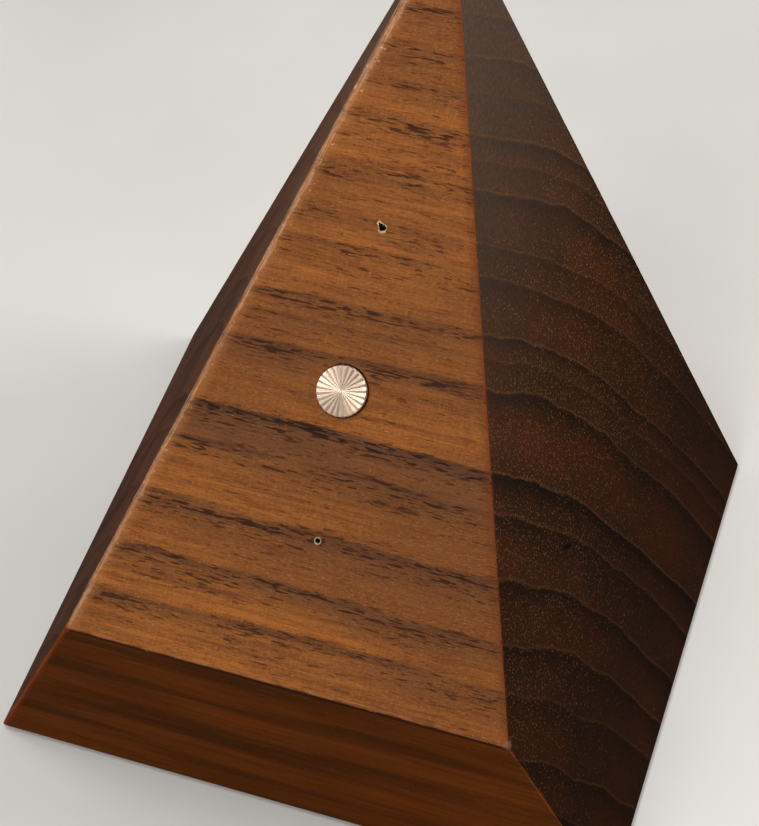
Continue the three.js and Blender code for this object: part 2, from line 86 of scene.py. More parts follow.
class G:
    def __init__(s, name):
        s.mat = bpy.data.materials.new(name)
        s.mat.use_nodes = True
        s.t = s.mat.node_tree
        s.t.nodes.clear()
        s.out = s.t.nodes.new('ShaderNodeOutputMaterial')
        s.tc = s.t.nodes.new('ShaderNodeTexCoord')
        s.P = s.vm('SCALE', s.tc.outputs['Object'], scale=1000.0)
        s.x, s.y, s.z = s.sep(s.P)
        s.N = s.tc.outputs['Normal']
    def put(s, sock, val):
        if isinstance(val, bpy.types.NodeSocket): s.t.links.new(val, sock)
        elif val is not None: sock.default_value = val
    def m(s, op, a, b=None, c=None, clamp=False):
        n = s.t.nodes.new('ShaderNodeMath'); n.operation = op; n.use_clamp = clamp
        for i, v in enumerate((a, b, c)): s.put(n.inputs[i], v)
        return n.outputs[0]
    def add(s, *a):
        r = a[0]
        for v in a[1:]: r = s.m('ADD', r, v)
        return r
    def mul(s, *a):
        r = a[0]
        for v in a[1:]: r = s.m('MULTIPLY', r, v)
        return r
    def sub(s, a, b): return s.m('SUBTRACT', a, b)
    def vm(s, op, a, b=None, scale=None):
        n = s.t.nodes.new('ShaderNodeVectorMath'); n.operation = op
        s.put(n.inputs[0], a)
        if b is not None: s.put(n.inputs[1], b)
        if scale is not None: s.put(n.inputs[3], scale)
        return n.outputs[1] if op in ('DOT_PRODUCT', 'LENGTH', 'DISTANCE') else n.outputs[0]
    def sep(s, v):
        n = s.t.nodes.new('ShaderNodeSeparateXYZ'); s.put(n.inputs[0], v); return n.outputs
    def comb(s, x, y, z):
        n = s.t.nodes.new('ShaderNodeCombineXYZ')
        for i, v in enumerate((x, y, z)): s.put(n.inputs[i], v)
        return n.outputs[0]
    def stretch(s, sx, sy, sz, off=(0, 0, 0), P=None):
        return s.vm('ADD', s.vm('MULTIPLY', P or s.P, (1 / sx, 1 / sy, 1 / sz)), off)
    def noise(s, vec, scale=1.0, detail=2.0, rough=0.5, dist=0.0):
        n = s.t.nodes.new('ShaderNodeTexNoise')
        s.put(n.inputs['Vector'], vec)
        n.inputs['Scale'].default_value = scale; n.inputs['Detail'].default_value = detail
        n.inputs['Roughness'].default_value = rough; n.inputs['Distortion'].default_value = dist
        return n.outputs[0]
    def voro(s, vec, scale=1.0, feature='F1', out=0, rand=1.0):
        n = s.t.nodes.new('ShaderNodeTexVoronoi'); n.feature = feature
        s.put(n.inputs['Vector'], vec); n.inputs['Scale'].default_value = scale
        n.inputs['Randomness'].default_value = rand
        return n.outputs[out]
    def step(s, v, a, b, lo=0.0, hi=1.0, kind='SMOOTHSTEP'):
        n = s.t.nodes.new('ShaderNodeMapRange'); n.interpolation_type = kind; n.clamp = True
        s.put(n.inputs['Value'], v)
        s.put(n.inputs['From Min'], a); s.put(n.inputs['From Max'], b)
        s.put(n.inputs['To Min'], lo); s.put(n.inputs['To Max'], hi)
        return n.outputs['Result']
    def ramp(s, v, stops, interp='LINEAR'):
        n = s.t.nodes.new('ShaderNodeValToRGB'); n.color_ramp.interpolation = interp
        e = n.color_ramp.elements
        while len(e) > 1: e.remove(e[-1])
        e[0].position, e[0].color = stops[0][0], stops[0][1]
        for p, c in stops[1:]:
            k = e.new(p); k.color = c
        s.put(n.inputs[0], v)
        return n.outputs[0]
    def gray(s, v, stops, interp='LINEAR'):
        return s.ramp(v, [(p, (c, c, c, 1)) for p, c in stops], interp)
    def mix(s, f, a, b, blend='MIX'):
        n = s.t.nodes.new('ShaderNodeMix'); n.data_type = 'RGBA'; n.blend_type = blend
        s.put(n.inputs[0], f); s.put(n.inputs[6], a); s.put(n.inputs[7], b)
        return n.outputs[2]
    def line(s, A, B, P=None):
        """distance in mm from the straight line through A and B"""
        u = (B - A).normalized()
        d = s.vm('SUBTRACT', P or s.P, tuple(A))
        return s.vm('LENGTH', s.vm('CROSS_PRODUCT', d, tuple(u)))
    def bump(s, h, dist, strength=1.0, normal=None):
        n = s.t.nodes.new('ShaderNodeBump')
        n.inputs['Strength'].default_value = strength
        n.inputs['Distance'].default_value = dist
        s.put(n.inputs['Height'], h)
        if normal is not None: s.put(n.inputs['Normal'], normal)
        return n.outputs[0]
    def shade(s, color, rough, metal=0.0, normal=None, spec=None, coat=None, coat_rough=None, ior=None, trans=None, alpha=None, aniso=None, sss=None):
        n = s.t.nodes.new('ShaderNodeBsdfPrincipled')
        s.put(n.inputs['Base Color'], color); s.put(n.inputs['Roughness'], rough)
        n.inputs['Metallic'].default_value = metal
        if normal is not None: s.put(n.inputs['Normal'], normal)
        if spec is not None: n.inputs['Specular IOR Level'].default_value = spec
        if coat is not None: n.inputs['Coat Weight'].default_value = coat
        if coat_rough is not None: n.inputs['Coat Roughness'].default_value = coat_rough
        if ior is not None: n.inputs['IOR'].default_value = ior
        if trans is not None: n.inputs['Transmission Weight'].default_value = trans
        if aniso is not None: n.inputs['Anisotropic'].default_value = aniso
        s.t.links.new(n.outputs[0], s.out.inputs['Surface'])
        return n

# ------------------------------------------------------------------ walnut
# years' rings: (place of the ring line, strength of the dark band below it)
RINGS = [(-49, .6), (-43, .5), (-36.5, .7), (-29.2, .7), (-19.6, .55), (-12.2, .75), (-3.4, .8), (6.0, .7), (12.0, 1.0), (25.0, .75), (29.6, .35),
         (33.2, .72), (42.5, .55), (48.0, .42), (57.6, .78), (63.0, .38), (67.6, .85), (75.5, .36), (83.0, .80), (91.5, .72), (102.0, .5)]

def walnut(name, spec):
    g = G(name)
    # growth rings are surfaces that run along X and stand nearly upright, leaning forward near the top
    w1 = g.sub(g.noise(g.stretch(64, 26, 26, (3.1, 0, 0)), detail=1.0), 0.5)
    w2 = g.sub(g.noise(g.stretch(17, 5.5, 5.5, (7.7, 2, 0)), detail=2.0), 0.5)
    w3 = g.sub(g.noise(g.stretch(5, 1.1, 1.1, (1.7, 5, 0)), detail=1.0), 0.5)
    Y = g.mul(g.add(g.y, g.mul(w1, 5.0), g.mul(w2, 1.6), g.mul(w3, 0.35)), 1 / 50)
    Z = g.mul(g.sub(g.z, 1.0), 1 / 50)
    Z2, Y2 = g.mul(Z, Z), g.mul(Y, Y)
    u = g.mul(g.add(Y, g.mul(Z, 0.2359), g.mul(Z2, 0.0432), g.mul(Z2, Z, 0.064), g.mul(Y, Z, -0.1085),
                    g.mul(Y, Z2, -0.0075), g.mul(Y2, Z, 0.0972), g.mul(Y2, -0.0433)), 50.0)
    # band profile: sharp at the ring line, fading away below it
    def profile(lo, hi, rings, fade=6.0, edge=0.35):
        st = []
        prev = None
        for U, a in rings:
            gap = (U - prev) if prev is not None else 8.0
            f = min(fade, gap * 0.8)
            for p, c in ((U - f, 0.0), (U - f * 0.45, a * 0.42), (U - edge, a), (U + edge * 0.6, 0.0)):
                st.append(((p - lo) / (hi - lo), c))
            prev = U
        st = [q for q in st if 0 < q[0] < 1]
        return [(0, 0.0)] + st[:31]
    def pick(lo, hi, rings, **k):
        t = g.step(u, lo, hi, kind='LINEAR')
        return g.gray(t, profile(lo, hi, rings, **k))
    band = g.add(pick(-50, 9, RINGS[1:8]), pick(5.9, 49, RINGS[8:14]), pick(49, 112, RINGS[14:21]))
    # the ring line itself, thin
    def lines(lo, hi, rings):
        st = [(0, 0.0)]
        for U, a in rings:
            for d, c in ((-0.45, 0.0), (0.0, a), (0.28, 0.0)): st.append(((U + d - lo) / (hi - lo), c))
        return g.gray(g.step(u, lo, hi, kind='LINEAR'), [q for q in st if 0 <= q[0] < 1])
    rline = g.add(lines(-53, 9, RINGS[1:8]), lines(9, 52, RINGS[8:14]), lines(51, 112, RINGS[14:21]))
    # on the end grain a thin pale line sits on the upper side of each ring, and the wood above it is full of pores
    def pale(lo, hi, rings, a0, a1, b0, b1):
        st = [(0, 0.0)]
        for U, a in rings:
            for d, c in ((a0, 0.0), (a1, a), (b0, a), (b1, 0.0)): st.append(((U + d - lo) / (hi - lo), c))
        return g.gray(g.step(u, lo, hi, kind='LINEAR'), [q for q in st if 0 <= q[0] < 1][:32])
    pline = g.add(pale(-53, 9, RINGS[1:8], -.05, .14, .18, .46), pale(9, 52, RINGS[8:14], -.05, .14, .18, .46), pale(51, 112, RINGS[14:21], -.05, .14, .18, .46))
    vzone = g.add(pale(-53, 9, RINGS[1:8], -4.6, -1.3, -.5, .9), pale(7, 50, RINGS[8:14], -4.6, -1.3, -.5, .9), pale(50, 112, RINGS[14:21], -4.6, -1.3, -.5, .9))
    # masks by the way a surface faces
    nx, ny, nz = g.sep(g.N)
    end = g.step(g.m('ABSOLUTE', nx), 0.55, 0.8)
    front = g.step(g.vm('DOT_PRODUCT', g.N, tuple(NF)), 0.80, 0.96)
    bandf = g.mul(g.step(g.mul(ny, -1.0), 0.86, 0.97), g.step(nz, 0.3, 0.1))
    long_ = g.sub(1.0, end)
    # fibres, fine and coarse, running along X
    f1 = g.noise(g.stretch(9, .26, .26), detail=3, rough=.62)
    f2 = g.noise(g.stretch(26, 1.0, 1.0, (0, 4, 0)), detail=3, rough=.6)
    f3 = g.noise(g.stretch(3.4, .12, .12, (2, 0, 9)), detail=2, rough=.6)
    tone = g.noise(g.stretch(48, 11, 11, (5, 5, 5)), detail=2)
    ray = g.noise(g.stretch(.22, 1.6, 1.6, (0, 0, 3)), detail=2)
    # vessels: long thin dashes along the grain, thickest just below a ring line
    near = g.m('MINIMUM', vzone, 1.0)
    v1 = g.noise(g.stretch(2.7, .36, .36, (11, 3, 7)), detail=1.5, rough=.5, dist=.15)
    v2 = g.noise(g.stretch(1.5, .20, .20, (1, 13, 2)), detail=1.0, rough=.4, dist=.1)
    clump = g.noise(g.stretch(11, 1.5, 1.5, (9, 1, 1)), detail=2)
    thr1 = g.sub(g.sub(0.730, g.mul(near, 0.185)), g.mul(g.sub(clump, 0.5), 0.44))
    thr2 = g.sub(g.sub(0.705, g.mul(near, 0.100)), g.mul(g.sub(clump, 0.5), 0.26))
    ves1 = g.mul(g.step(v1, g.sub(thr1, 0.035), g.add(thr1, 0.035)), g.add(.55, g.mul(near, .45)))
    ves2 = g.step(v2, g.sub(thr2, 0.04), g.add(thr2, 0.05))
    ves = g.m('MAXIMUM', ves1, g.mul(ves2, 0.5))
    # ---- colour along the grain
    gold = g.mix(g.step(tone, .36, .62), srgb(116, 70, 34), srgb(156, 92, 36))
    gold = g.mix(g.step(f2, .30, .72), gold, srgb(116, 66, 30))
    gold = g.mix(g.mul(g.step(f1, .42, .75), 0.55), gold, srgb(98, 54, 27))
    gold = g.mix(g.mul(g.step(f3, .5, .8), 0.35), gold, srgb(156, 98, 50))
    gold = g.mix(g.mul(g.step(ray, .5, .78), 0.12), gold, srgb(92, 52, 26))
    fleck = g.noise(g.stretch(.55, .20, .20, (4, 4, 1)), detail=2, rough=.6)
    hatch = g.noise(g.stretch(.17, 2.6, 2.6, (0, 7, 3)), detail=2, rough=.55)
    gold = g.mix(g.mul(g.step(fleck, .50, .78), 0.45), gold, srgb(88, 46, 22))
    gold = g.mix(g.mul(g.step(fleck, .50, .26), 0.38), gold, srgb(178, 112, 56))
    gold = g.mix(g.mul(g.step(hatch, .46, .72), g.step(clump, .3, .7, .06, .26)), gold, srgb(96, 54, 26))
    gold = g.mix(g.mul(g.step(hatch, .52, .28), g.step(tone, .3, .7, .05, .20)), gold, srgb(176, 112, 54))
    red = g.noise(g.stretch(7, .8, .8, (14, 2, 6)), detail=2, rough=.6)
    gold = g.mix(g.mul(g.step(red, .54, .74), 0.58), gold, srgb(102, 48, 22))
    gold = g.mix(g.step(g.z, 34, 60, 0.0, .13), gold, srgb(70, 38, 18))
    darkb = g.mix(g.step(f2, .3, .7), srgb(84, 54, 36), srgb(64, 42, 30))
    darkb = g.mix(g.mul(g.step(fleck, .46, .74), .4), darkb, srgb(52, 34, 24))
    col = g.mix(g.mul(band, g.step(u, 27, 36, .85, .50), g.step(clump, .10, .52, .50, 1.0)), gold, darkb)
    zone = g.mul(g.step(g.add(u, g.mul(g.sub(clump, .5), 2.0)), 4.6, 7.0), g.step(u, 12.4, 11.6))
    col = g.mix(g.mul(zone, g.step(tone, .25, .6, .62, .34)), col, srgb(84, 54, 37))
    col = g.mix(g.mul(rline, 0.7, g.step(clump, .3, .6)), col, srgb(40, 26, 17))
    col = g.mix(g.mul(g.step(v1, g.sub(thr1, .11), thr1), .30), col, srgb(92, 46, 24))
    col = g.mix(g.mul(ves, 0.90), col, srgb(32, 23, 20))
    glint = g.step(g.noise(g.stretch(1.1, .11, .11, (8, 8, 2)), detail=1.0, rough=.5), .725, .78)
    col = g.mix(g.mul(glint, g.step(tone, .35, .6, .15, .5)), col, srgb(200, 152, 106))
    # the upright band is darker, redder and smoother
    bcol = g.mix(g.step(tone, .30, .66), srgb(84, 39, 6), srgb(104, 50, 9))
    bsoft = g.noise(g.stretch(70, 5.0, 5.0, (1, 21, 5)), detail=2.5, rough=.55)
    bcol = g.mix(g.mul(g.step(bsoft, .47, .68), 0.68), bcol, srgb(40, 20, 6))
    bcol = g.mix(g.mul(band, 0.35), bcol, srgb(46, 22, 6))
    bcol = g.mix(g.mul(g.step(f2, .35, .7), 0.45), bcol, srgb(60, 29, 6))
    bcol = g.mix(g.mul(g.step(f1, .42, .72), 0.40), bcol, srgb(46, 22, 5))
    bcol = g.mix(g.mul(g.step(fleck, .5, .28), 0.25), bcol, srgb(122, 62, 16))
    bcol = g.mix(g.mul(g.step(v2, .64, .72), 0.35), bcol, srgb(34, 17, 6))
    scr = g.noise(g.stretch(5.5, .10, .16, (3, 3, 30)), detail=1.0, rough=.5)
    bcol = g.mix(g.mul(g.step(scr, .70, .78), 0.40), bcol, srgb(150, 100, 62))
    col = g.mix(bandf, col, bcol)
    # ---- end grain: dark, red between the rings, thin pale ring line, golden pores
    e1 = g.noise(g.stretch(30, .55, .55, (0, 8, 2)), detail=2)
    patch = g.noise(g.stretch(60, 14, 14, (1, 1, 14)), detail=2)
    redz = g.mul(g.step(u, 12.5, 15.5), g.step(u, 24.5, 21.0))
    ecol = g.mix(g.step(patch, .34, .68), srgb(48, 28, 16), srgb(62, 31, 15))
    ecol = g.mix(g.mul(redz, g.step(patch, .35, .6, .25, .75)), ecol, srgb(70, 31, 16))
    ecol = g.mix(g.mul(g.step(e1, .4, .75), 0.35), ecol, srgb(34, 22, 13))
    ecol = g.mix(g.m('MINIMUM', g.mul(band, 1.05), 1.0), ecol, srgb(22, 15, 12))
    emot = g.noise(g.stretch(30, .24, .24, (0, 8, 2)), detail=2, rough=.6)
    ecol = g.mix(g.mul(g.step(emot, .5, .74), 0.45), ecol, srgb(26, 16, 10))
    ecol = g.mix(g.mul(g.step(emot, .5, .28), 0.28), ecol, srgb(88, 52, 30))
    # painted sheen: a grey haze over the upper end grain
    painted_sheen_noise = g.noise(g.stretch(8, .95, .34, (3, 3, 7)), detail=3, rough=.65)
    ecol = g.mix(g.mul(g.step(g.z, 50, 116, 0.0, .62), g.step(painted_sheen_noise, .32, .68, .66, 1.0)), ecol, srgb(99, 83, 71))
    pdens = g.noise(g.stretch(30, 4, 4, (2, 2, 2)), detail=2)
    def pores(sy, sz, off):
        v = g.stretch(40, sy, sz, off)
        pv = g.voro(v, out=0)
        pr = g.sep(g.voro(v, out=1))
        keep = g.step(g.add(pr[0], g.mul(g.sub(pdens, .5), .7), g.mul(band, -0.50), g.mul(pline, .5)), .36, .52)
        return g.mul(g.step(pv, .36, .14), keep, g.add(.35, g.mul(pr[1], .65)))
    pore = g.m('MAXIMUM', pores(.50, .60, (0, 1, 1)), g.mul(pores(.31, .36, (0, 5, 2)), .7))
    ecol = g.mix(g.mul(pore, .50), ecol, srgb(146, 102, 64))
    ecol = g.mix(g.mul(pline, 0.50, g.step(emot, .32, .60, .35, 1.0)), ecol, srgb(104, 70, 46))
    jitc = g.noise(g.stretch(.4, .4, .4, (1, 3, 1)), detail=2)
    crackd = g.vm('ADD', g.vm('SUBTRACT', g.P, CRACK), g.comb(0.0, 0.0, g.mul(g.sub(jitc, .5), 1.1)))
    crack = g.step(g.vm('LENGTH', g.comb(0.0, g.mul(g.add(g.mul(g.sep(crackd)[1], .79), g.mul(g.sep(crackd)[2], -.61)), .62), g.mul(g.add(g.mul(g.sep(crackd)[1], .61), g.mul(g.sep(crackd)[2], .79)), 2.6))), 1.15, .75)
    ecol = g.mix(g.mul(crack, g.step(g.x, 5, 10), g.step(jitc, .3, .5, .5, 1.0)), ecol, srgb(9, 6, 5))
    # painted shade: the end grain turns darker towards the bottom
    ecol = g.mix(g.step(g.z, 66, 20, 0.0, .42), ecol, srgb(16, 11, 7))
    ecol = g.mix(g.mul(g.step(g.x, -2, -8), g.step(patch, .3, .65, .12, .36)), ecol, srgb(104, 56, 32))
    col = g.mix(end, col, ecol)
    # ---- wear along the eased edges, with painted highlights on the left crease, along the top edge of the band and on the band's side edges, and painted shade on the right crease and just below the band's top edge
    jit = g.noise(g.stretch(2.2, 2.2, 2.2, (6, 6, 6)), detail=3, rough=.6)
    jit2 = g.noise(g.stretch(.55, .55, .55), detail=2)
    dl = g.line(P5, APEX)
    jit3 = g.noise(g.stretch(7, 1.2, 1.2, (3, 6, 1)), detail=3, rough=.65)
    # left crease: pale rubbed wood where the edge is sanded through, together with a painted highlight of the light
    # from the left
    left_rub_and_highlight = g.mul(g.step(g.add(dl, g.step(g.z, 78, 110, 0.0, -.35), g.mul(g.sub(jit, .5), .7), g.mul(g.sub(jit3, .5), 1.0)), 0.95, 0.50), g.step(g.x, 0.0, -0.5))
    # painted highlight: a lighter strip on the front face beside the left crease
    col = g.mix(g.mul(g.step(dl, 2.3, .6), g.step(g.x, 0.0, -0.5), front, .35), col, srgb(168, 108, 60))
    eu = (APEX - P5).normalized(); ev = eu.cross(NF).normalized()
    ea, eb = g.vm('DOT_PRODUCT', g.P, tuple(eu)), g.vm('DOT_PRODUCT', g.P, tuple(ev))
    streak = g.noise(g.comb(g.mul(ea, .22), g.mul(eb, 5.5), g.mul(g.z, .02)), detail=2.5, rough=.6)
    col = g.mix(g.mul(left_rub_and_highlight, g.step(streak, .36, .64, .12, .86), g.step(jit2, .30, .62, .55, .95)), col, srgb(180, 138, 108))
    nick = g.mul(g.step(dl, 1.9, .9), g.step(g.x, 0.0, -0.5), g.step(g.noise(g.stretch(.9, .7, .7, (4, 11, 9)), detail=2), .67, .72))
    col = g.mix(g.mul(nick, .75), col, srgb(196, 152, 124))
    dr = g.line(P6, APEX)
    # painted shade on the right crease: the front face turns darker red just before it, and the eased edge itself is
    # painted as a reddish shaded line
    right_crease_shade = g.mul(g.step(g.add(dr, g.mul(g.sub(jit, .5), .9)), 0.55, 0.12), g.step(g.x, 0.0, 0.5))
    col = g.mix(g.mul(g.step(dr, 1.7, .5), g.step(g.x, 0.0, 0.5), front, .40), col, srgb(98, 46, 20))
    col = g.mix(g.mul(right_crease_shade, g.step(jit2, .3, .62, .2, .65)), col, srgb(104, 50, 24))
    dm = g.line(P5, P6)
    # painted shadow: a thin dark line on the band just below its top edge
    band_top_shade = g.mul(g.step(g.sub(P5.z, g.z), 0.15, 0.4), g.step(g.sub(P5.z, g.z), 1.5, 0.8), g.step(g.add(g.y, HALF_D), 0.8, 0.3))
    col = g.mix(g.mul(band_top_shade, 0.7), col, srgb(36, 18, 9))
    # painted highlight: a thin broken golden line along the top edge of the band
    edge_highlight_line = g.mul(g.step(dm, .55, .25), g.step(g.noise(g.stretch(5, 1, 1, (4, 7, 2)), detail=3, rough=.65), .40, .58))
    col = g.mix(g.mul(edge_highlight_line, .6), col, srgb(164, 106, 66))
    chips = g.mul(g.step(dm, 1.0, 0.5), g.step(g.noise(g.stretch(1.3, .5, .5, (4, 1, 9)), detail=2), .66, .72))
    col = g.mix(g.mul(chips, 0.8), col, srgb(170, 122, 86))
    dc = g.vm('DISTANCE', g.P, tuple(P6))
    col = g.mix(g.mul(g.step(g.add(dc, g.mul(g.sub(jit2, .5), 1.4)), 1.15, .6), 0.55), col, srgb(134, 100, 78))
    # painted highlight: the lower side edges of the band, the left one widest, glow red-brown
    dbl = g.line(Vector((-HALF_W, -HALF_D, STAND)), P5)
    dbr = g.line(Vector((HALF_W, -HALF_D, STAND)), P6)
    col = g.mix(g.mul(g.step(g.add(g.m('MINIMUM', dbl, g.add(dbr, .5)), g.mul(g.sub(jit, .5), .8)), 1.0, 0.3), 0.6), col, srgb(120, 50, 18))
    # ---- raw wood round the two pinholes
    def rim(Pc, r, w, wob, tail=None):
        q = g.vm('SUBTRACT', g.P, tuple(Pc))
        a = g.vm('DOT_PRODUCT', q, (1, 0, 0)); b_ = g.vm('DOT_PRODUCT', q, (0, math.cos(SLOPE), math.sin(SLOPE)))
        ang = g.noise(g.stretch(.5, .5, .5, (r * 9, 0, 0)), detail=2)
        if tail:
            dx, dy, L, r2, w2 = tail
            t = g.m('MULTIPLY', g.add(g.mul(a, dx), g.mul(b_, dy)), 1 / L, clamp=True)
            a, b_ = g.sub(a, g.mul(t, dx * L)), g.sub(b_, g.mul(t, dy * L))
            lim = g.add(r + w, g.mul(t, r2 + w2 - r - w), g.mul(g.sub(ang, .5), wob))
        else:
            lim = g.add(r + w, g.mul(g.sub(ang, .5), wob))
        d = g.m('SQRT', g.add(g.mul(a, a), g.mul(b_, b_)))
        return g.step(g.sub(d, lim), 0.08, -0.06)
    r_up = rim(UPPER_P, 0.46, 0.27, 0.50, tail=(-.66, .75, .78, .20, .13))
    r_lo = rim(LOWER_P, 0.34, 0.20, 0.10)
    rimc = g.mix(g.step(jit2, .35, .65), srgb(206, 186, 150), srgb(160, 136, 100))
    col = g.mix(g.mul(g.m('MAXIMUM', r_up, r_lo), g.step(g.vm('DOT_PRODUCT', g.N, tuple(NF)), .25, .5)), col, rimc)
    # ---- inside of the hollow: bare, unoiled, routed
    inside = g.mul(g.step(g.m('ABSOLUTE', g.x), g.sub(g.mul(g.sub(116.2, g.z), 0.4514), 2.2), g.sub(g.mul(g.sub(116.2, g.z), 0.4514), 4.2)),
                   g.step(g.add(g.y, HALF_D), 2.2, 4.2), g.step(g.sub(HALF_D, g.y), 2.2, 4.2),
                   g.step(g.vm('DOT_PRODUCT', g.vm('SUBTRACT', g.P, tuple(KNOB_P)), tuple(NF)), -1.6, -3.0))
    rout = g.noise(g.stretch(14, .8, .8, (2, 9, 4)), detail=3)
    raw = g.mix(g.step(rout, .35, .7), srgb(150, 112, 82), srgb(118, 84, 60))
    raw = g.mix(g.mul(band, .5), raw, srgb(84, 58, 42))
    raw = g.mix(g.mul(ves, .6), raw, srgb(66, 44, 32))
    col = g.mix(g.mul(inside, 0.9), col, raw)
    # ---- roughness and relief
    rough = g.add(0.46, g.mul(g.sub(f1, .5), .18), g.mul(ves, .25), g.mul(band, .05), g.mul(left_rub_and_highlight, .15), g.mul(end, .16), g.mul(bandf, -.10), g.mul(inside, .2))
    vh = g.mul(ves, g.mul(long_, g.sub(1.0, g.mul(bandf, .7))))
    h = g.add(g.mul(vh, -0.9), g.mul(f1, 0.28), g.mul(f3, 0.16), g.mul(f2, .1), g.mul(pore, end, 0.35), g.mul(g.m('MAXIMUM', r_up, r_lo), -0.5), g.mul(jit, left_rub_and_highlight, 0.8), g.mul(chips, -.8))
    nrm = g.bump(h, 0.00011, 0.85)
    hand = g.noise(g.stretch(14, 10, 10, (8, 8, 8)), detail=2)
    nrm = g.bump(hand, 0.0009, 0.10, nrm)
    g.shade(col, g.m('MINIMUM', g.m('MAXIMUM', rough, .22), .9), normal=nrm, spec=spec)
    return g.mat

# ------------------------------------------------------------------ other finishes
def plastic(name, c1, c2, rough=.5, grain=.35, depth=.00005, spec=.4):
    g = G(name)
    n1 = g.noise(g.stretch(grain, grain, grain), detail=3, rough=.6)
    n2 = g.noise(g.stretch(14, 14, 14, (3, 3, 3)), detail=3)
    vor = g.voro(g.stretch(grain * 1.3, grain * 1.3, grain * 1.3), out=0)
    col = g.mix(g.step(n2, .3, .7), srgb(*c1), srgb(*c2))
    scuff = g.step(g.noise(g.stretch(6, .25, 2, (1, 2, 3)), detail=2), .70, .78)
    col = g.mix(g.mul(scuff, .16), col, srgb(*[min(255, c + 70) for c in c1]))
    r = g.add(rough, g.mul(g.sub(n1, .5), .22), g.mul(g.sub(n2, .5), .15), g.mul(scuff, -.08))
    g.shade(col, r, normal=g.bump(g.add(n1, g.mul(vor, .8)), depth, .8), spec=spec)
    return g.mat

def metal(name, c1, c2, rough=.28, along=(1, 1, 1), depth=.00002, stain=None):
    g = G(name)
    n1 = g.noise(g.stretch(*[a * .35 for a in along]), detail=3, rough=.6)
    n2 = g.noise(g.stretch(5, 5, 5, (2, 2, 2)), detail=3)
    col = g.mix(g.step(n2, .3, .72), srgb(*c1), srgb(*c2))
    if stain: col = g.mix(g.mul(g.step(g.noise(g.stretch(1.8, 1.8, 1.8, (5, 5, 5)), detail=3), .58, .75), .5), col, srgb(*stain))
    r = g.add(rough, g.mul(g.sub(n1, .5), .25), g.mul(g.sub(n2, .5), .2))
    g.shade(col, r, metal=1.0, normal=g.bump(n1, depth, .6))
    return g.mat

def rubber(name, c=(26, 26, 27)):
    g = G(name)
    n1 = g.noise(g.stretch(.18, .18, .18), detail=3, rough=.65)
    n2 = g.noise(g.stretch(2.4, 2.4, 2.4, (4, 4, 4)), detail=3)
    col = g.mix(g.step(n2, .35, .7), srgb(*c), srgb(*[v + 16 for v in c]))
    g.shade(col, g.add(.72, g.mul(g.sub(n1, .5), .2)), normal=g.bump(g.add(n1, g.mul(n2, .4)), .00006, .8), spec=.3)
    return g.mat

def circuit_board():
    g = G('circuit_board')
    q = g.vm('SUBTRACT', g.P, tuple(KNOB_P))
    a = g.vm('DOT_PRODUCT', q, (1, 0, 0)); b_ = g.vm('DOT_PRODUCT', q, (0, math.cos(SLOPE), math.sin(SLOPE)))
    cell = g.comb(g.m('SNAP', a, 1.27), g.m('SNAP', b_, 2.54), 0.0)
    rnd = g.noise(g.vm('SCALE', cell, scale=3.7), detail=0)
    tr = g.step(g.m('ABSOLUTE', g.sub(g.m('FRACT', g.mul(a, 1 / 1.27)), .5)), .20, .13)
    track = g.mul(tr, g.step(rnd, .47, .50))
    cc = g.comb(g.m('SNAP', a, 2.54), g.m('SNAP', b_, 2.54), 0.0)
    px_ = g.sub(g.mul(g.m('FRACT', g.mul(a, 1 / 2.54)), 2.54), 1.27); py_ = g.sub(g.mul(g.m('FRACT', g.mul(b_, 1 / 2.54)), 2.54), 1.27)
    rad = g.m('SQRT', g.add(g.mul(px_, px_), g.mul(py_, py_)))
    pad = g.mul(g.step(rad, .62, .55), g.step(g.noise(g.vm('SCALE', cc, scale=5.3), detail=0), .56, .58))
    n = g.noise(g.stretch(.6, .6, .6), detail=2)
    col = g.mix(g.step(n, .3, .7), srgb(16, 78, 44), srgb(20, 90, 52))
    col = g.mix(g.mul(track, .8), col, srgb(34, 118, 66))
    col = g.mix(pad, col, srgb(206, 196, 170))
    g.shade(col, g.add(.34, g.mul(n, .12)), normal=g.bump(g.add(track, g.mul(pad, 1.6), g.mul(n, .15)), .00005, .7), coat=.3, coat_rough=.2)
    return g.mat

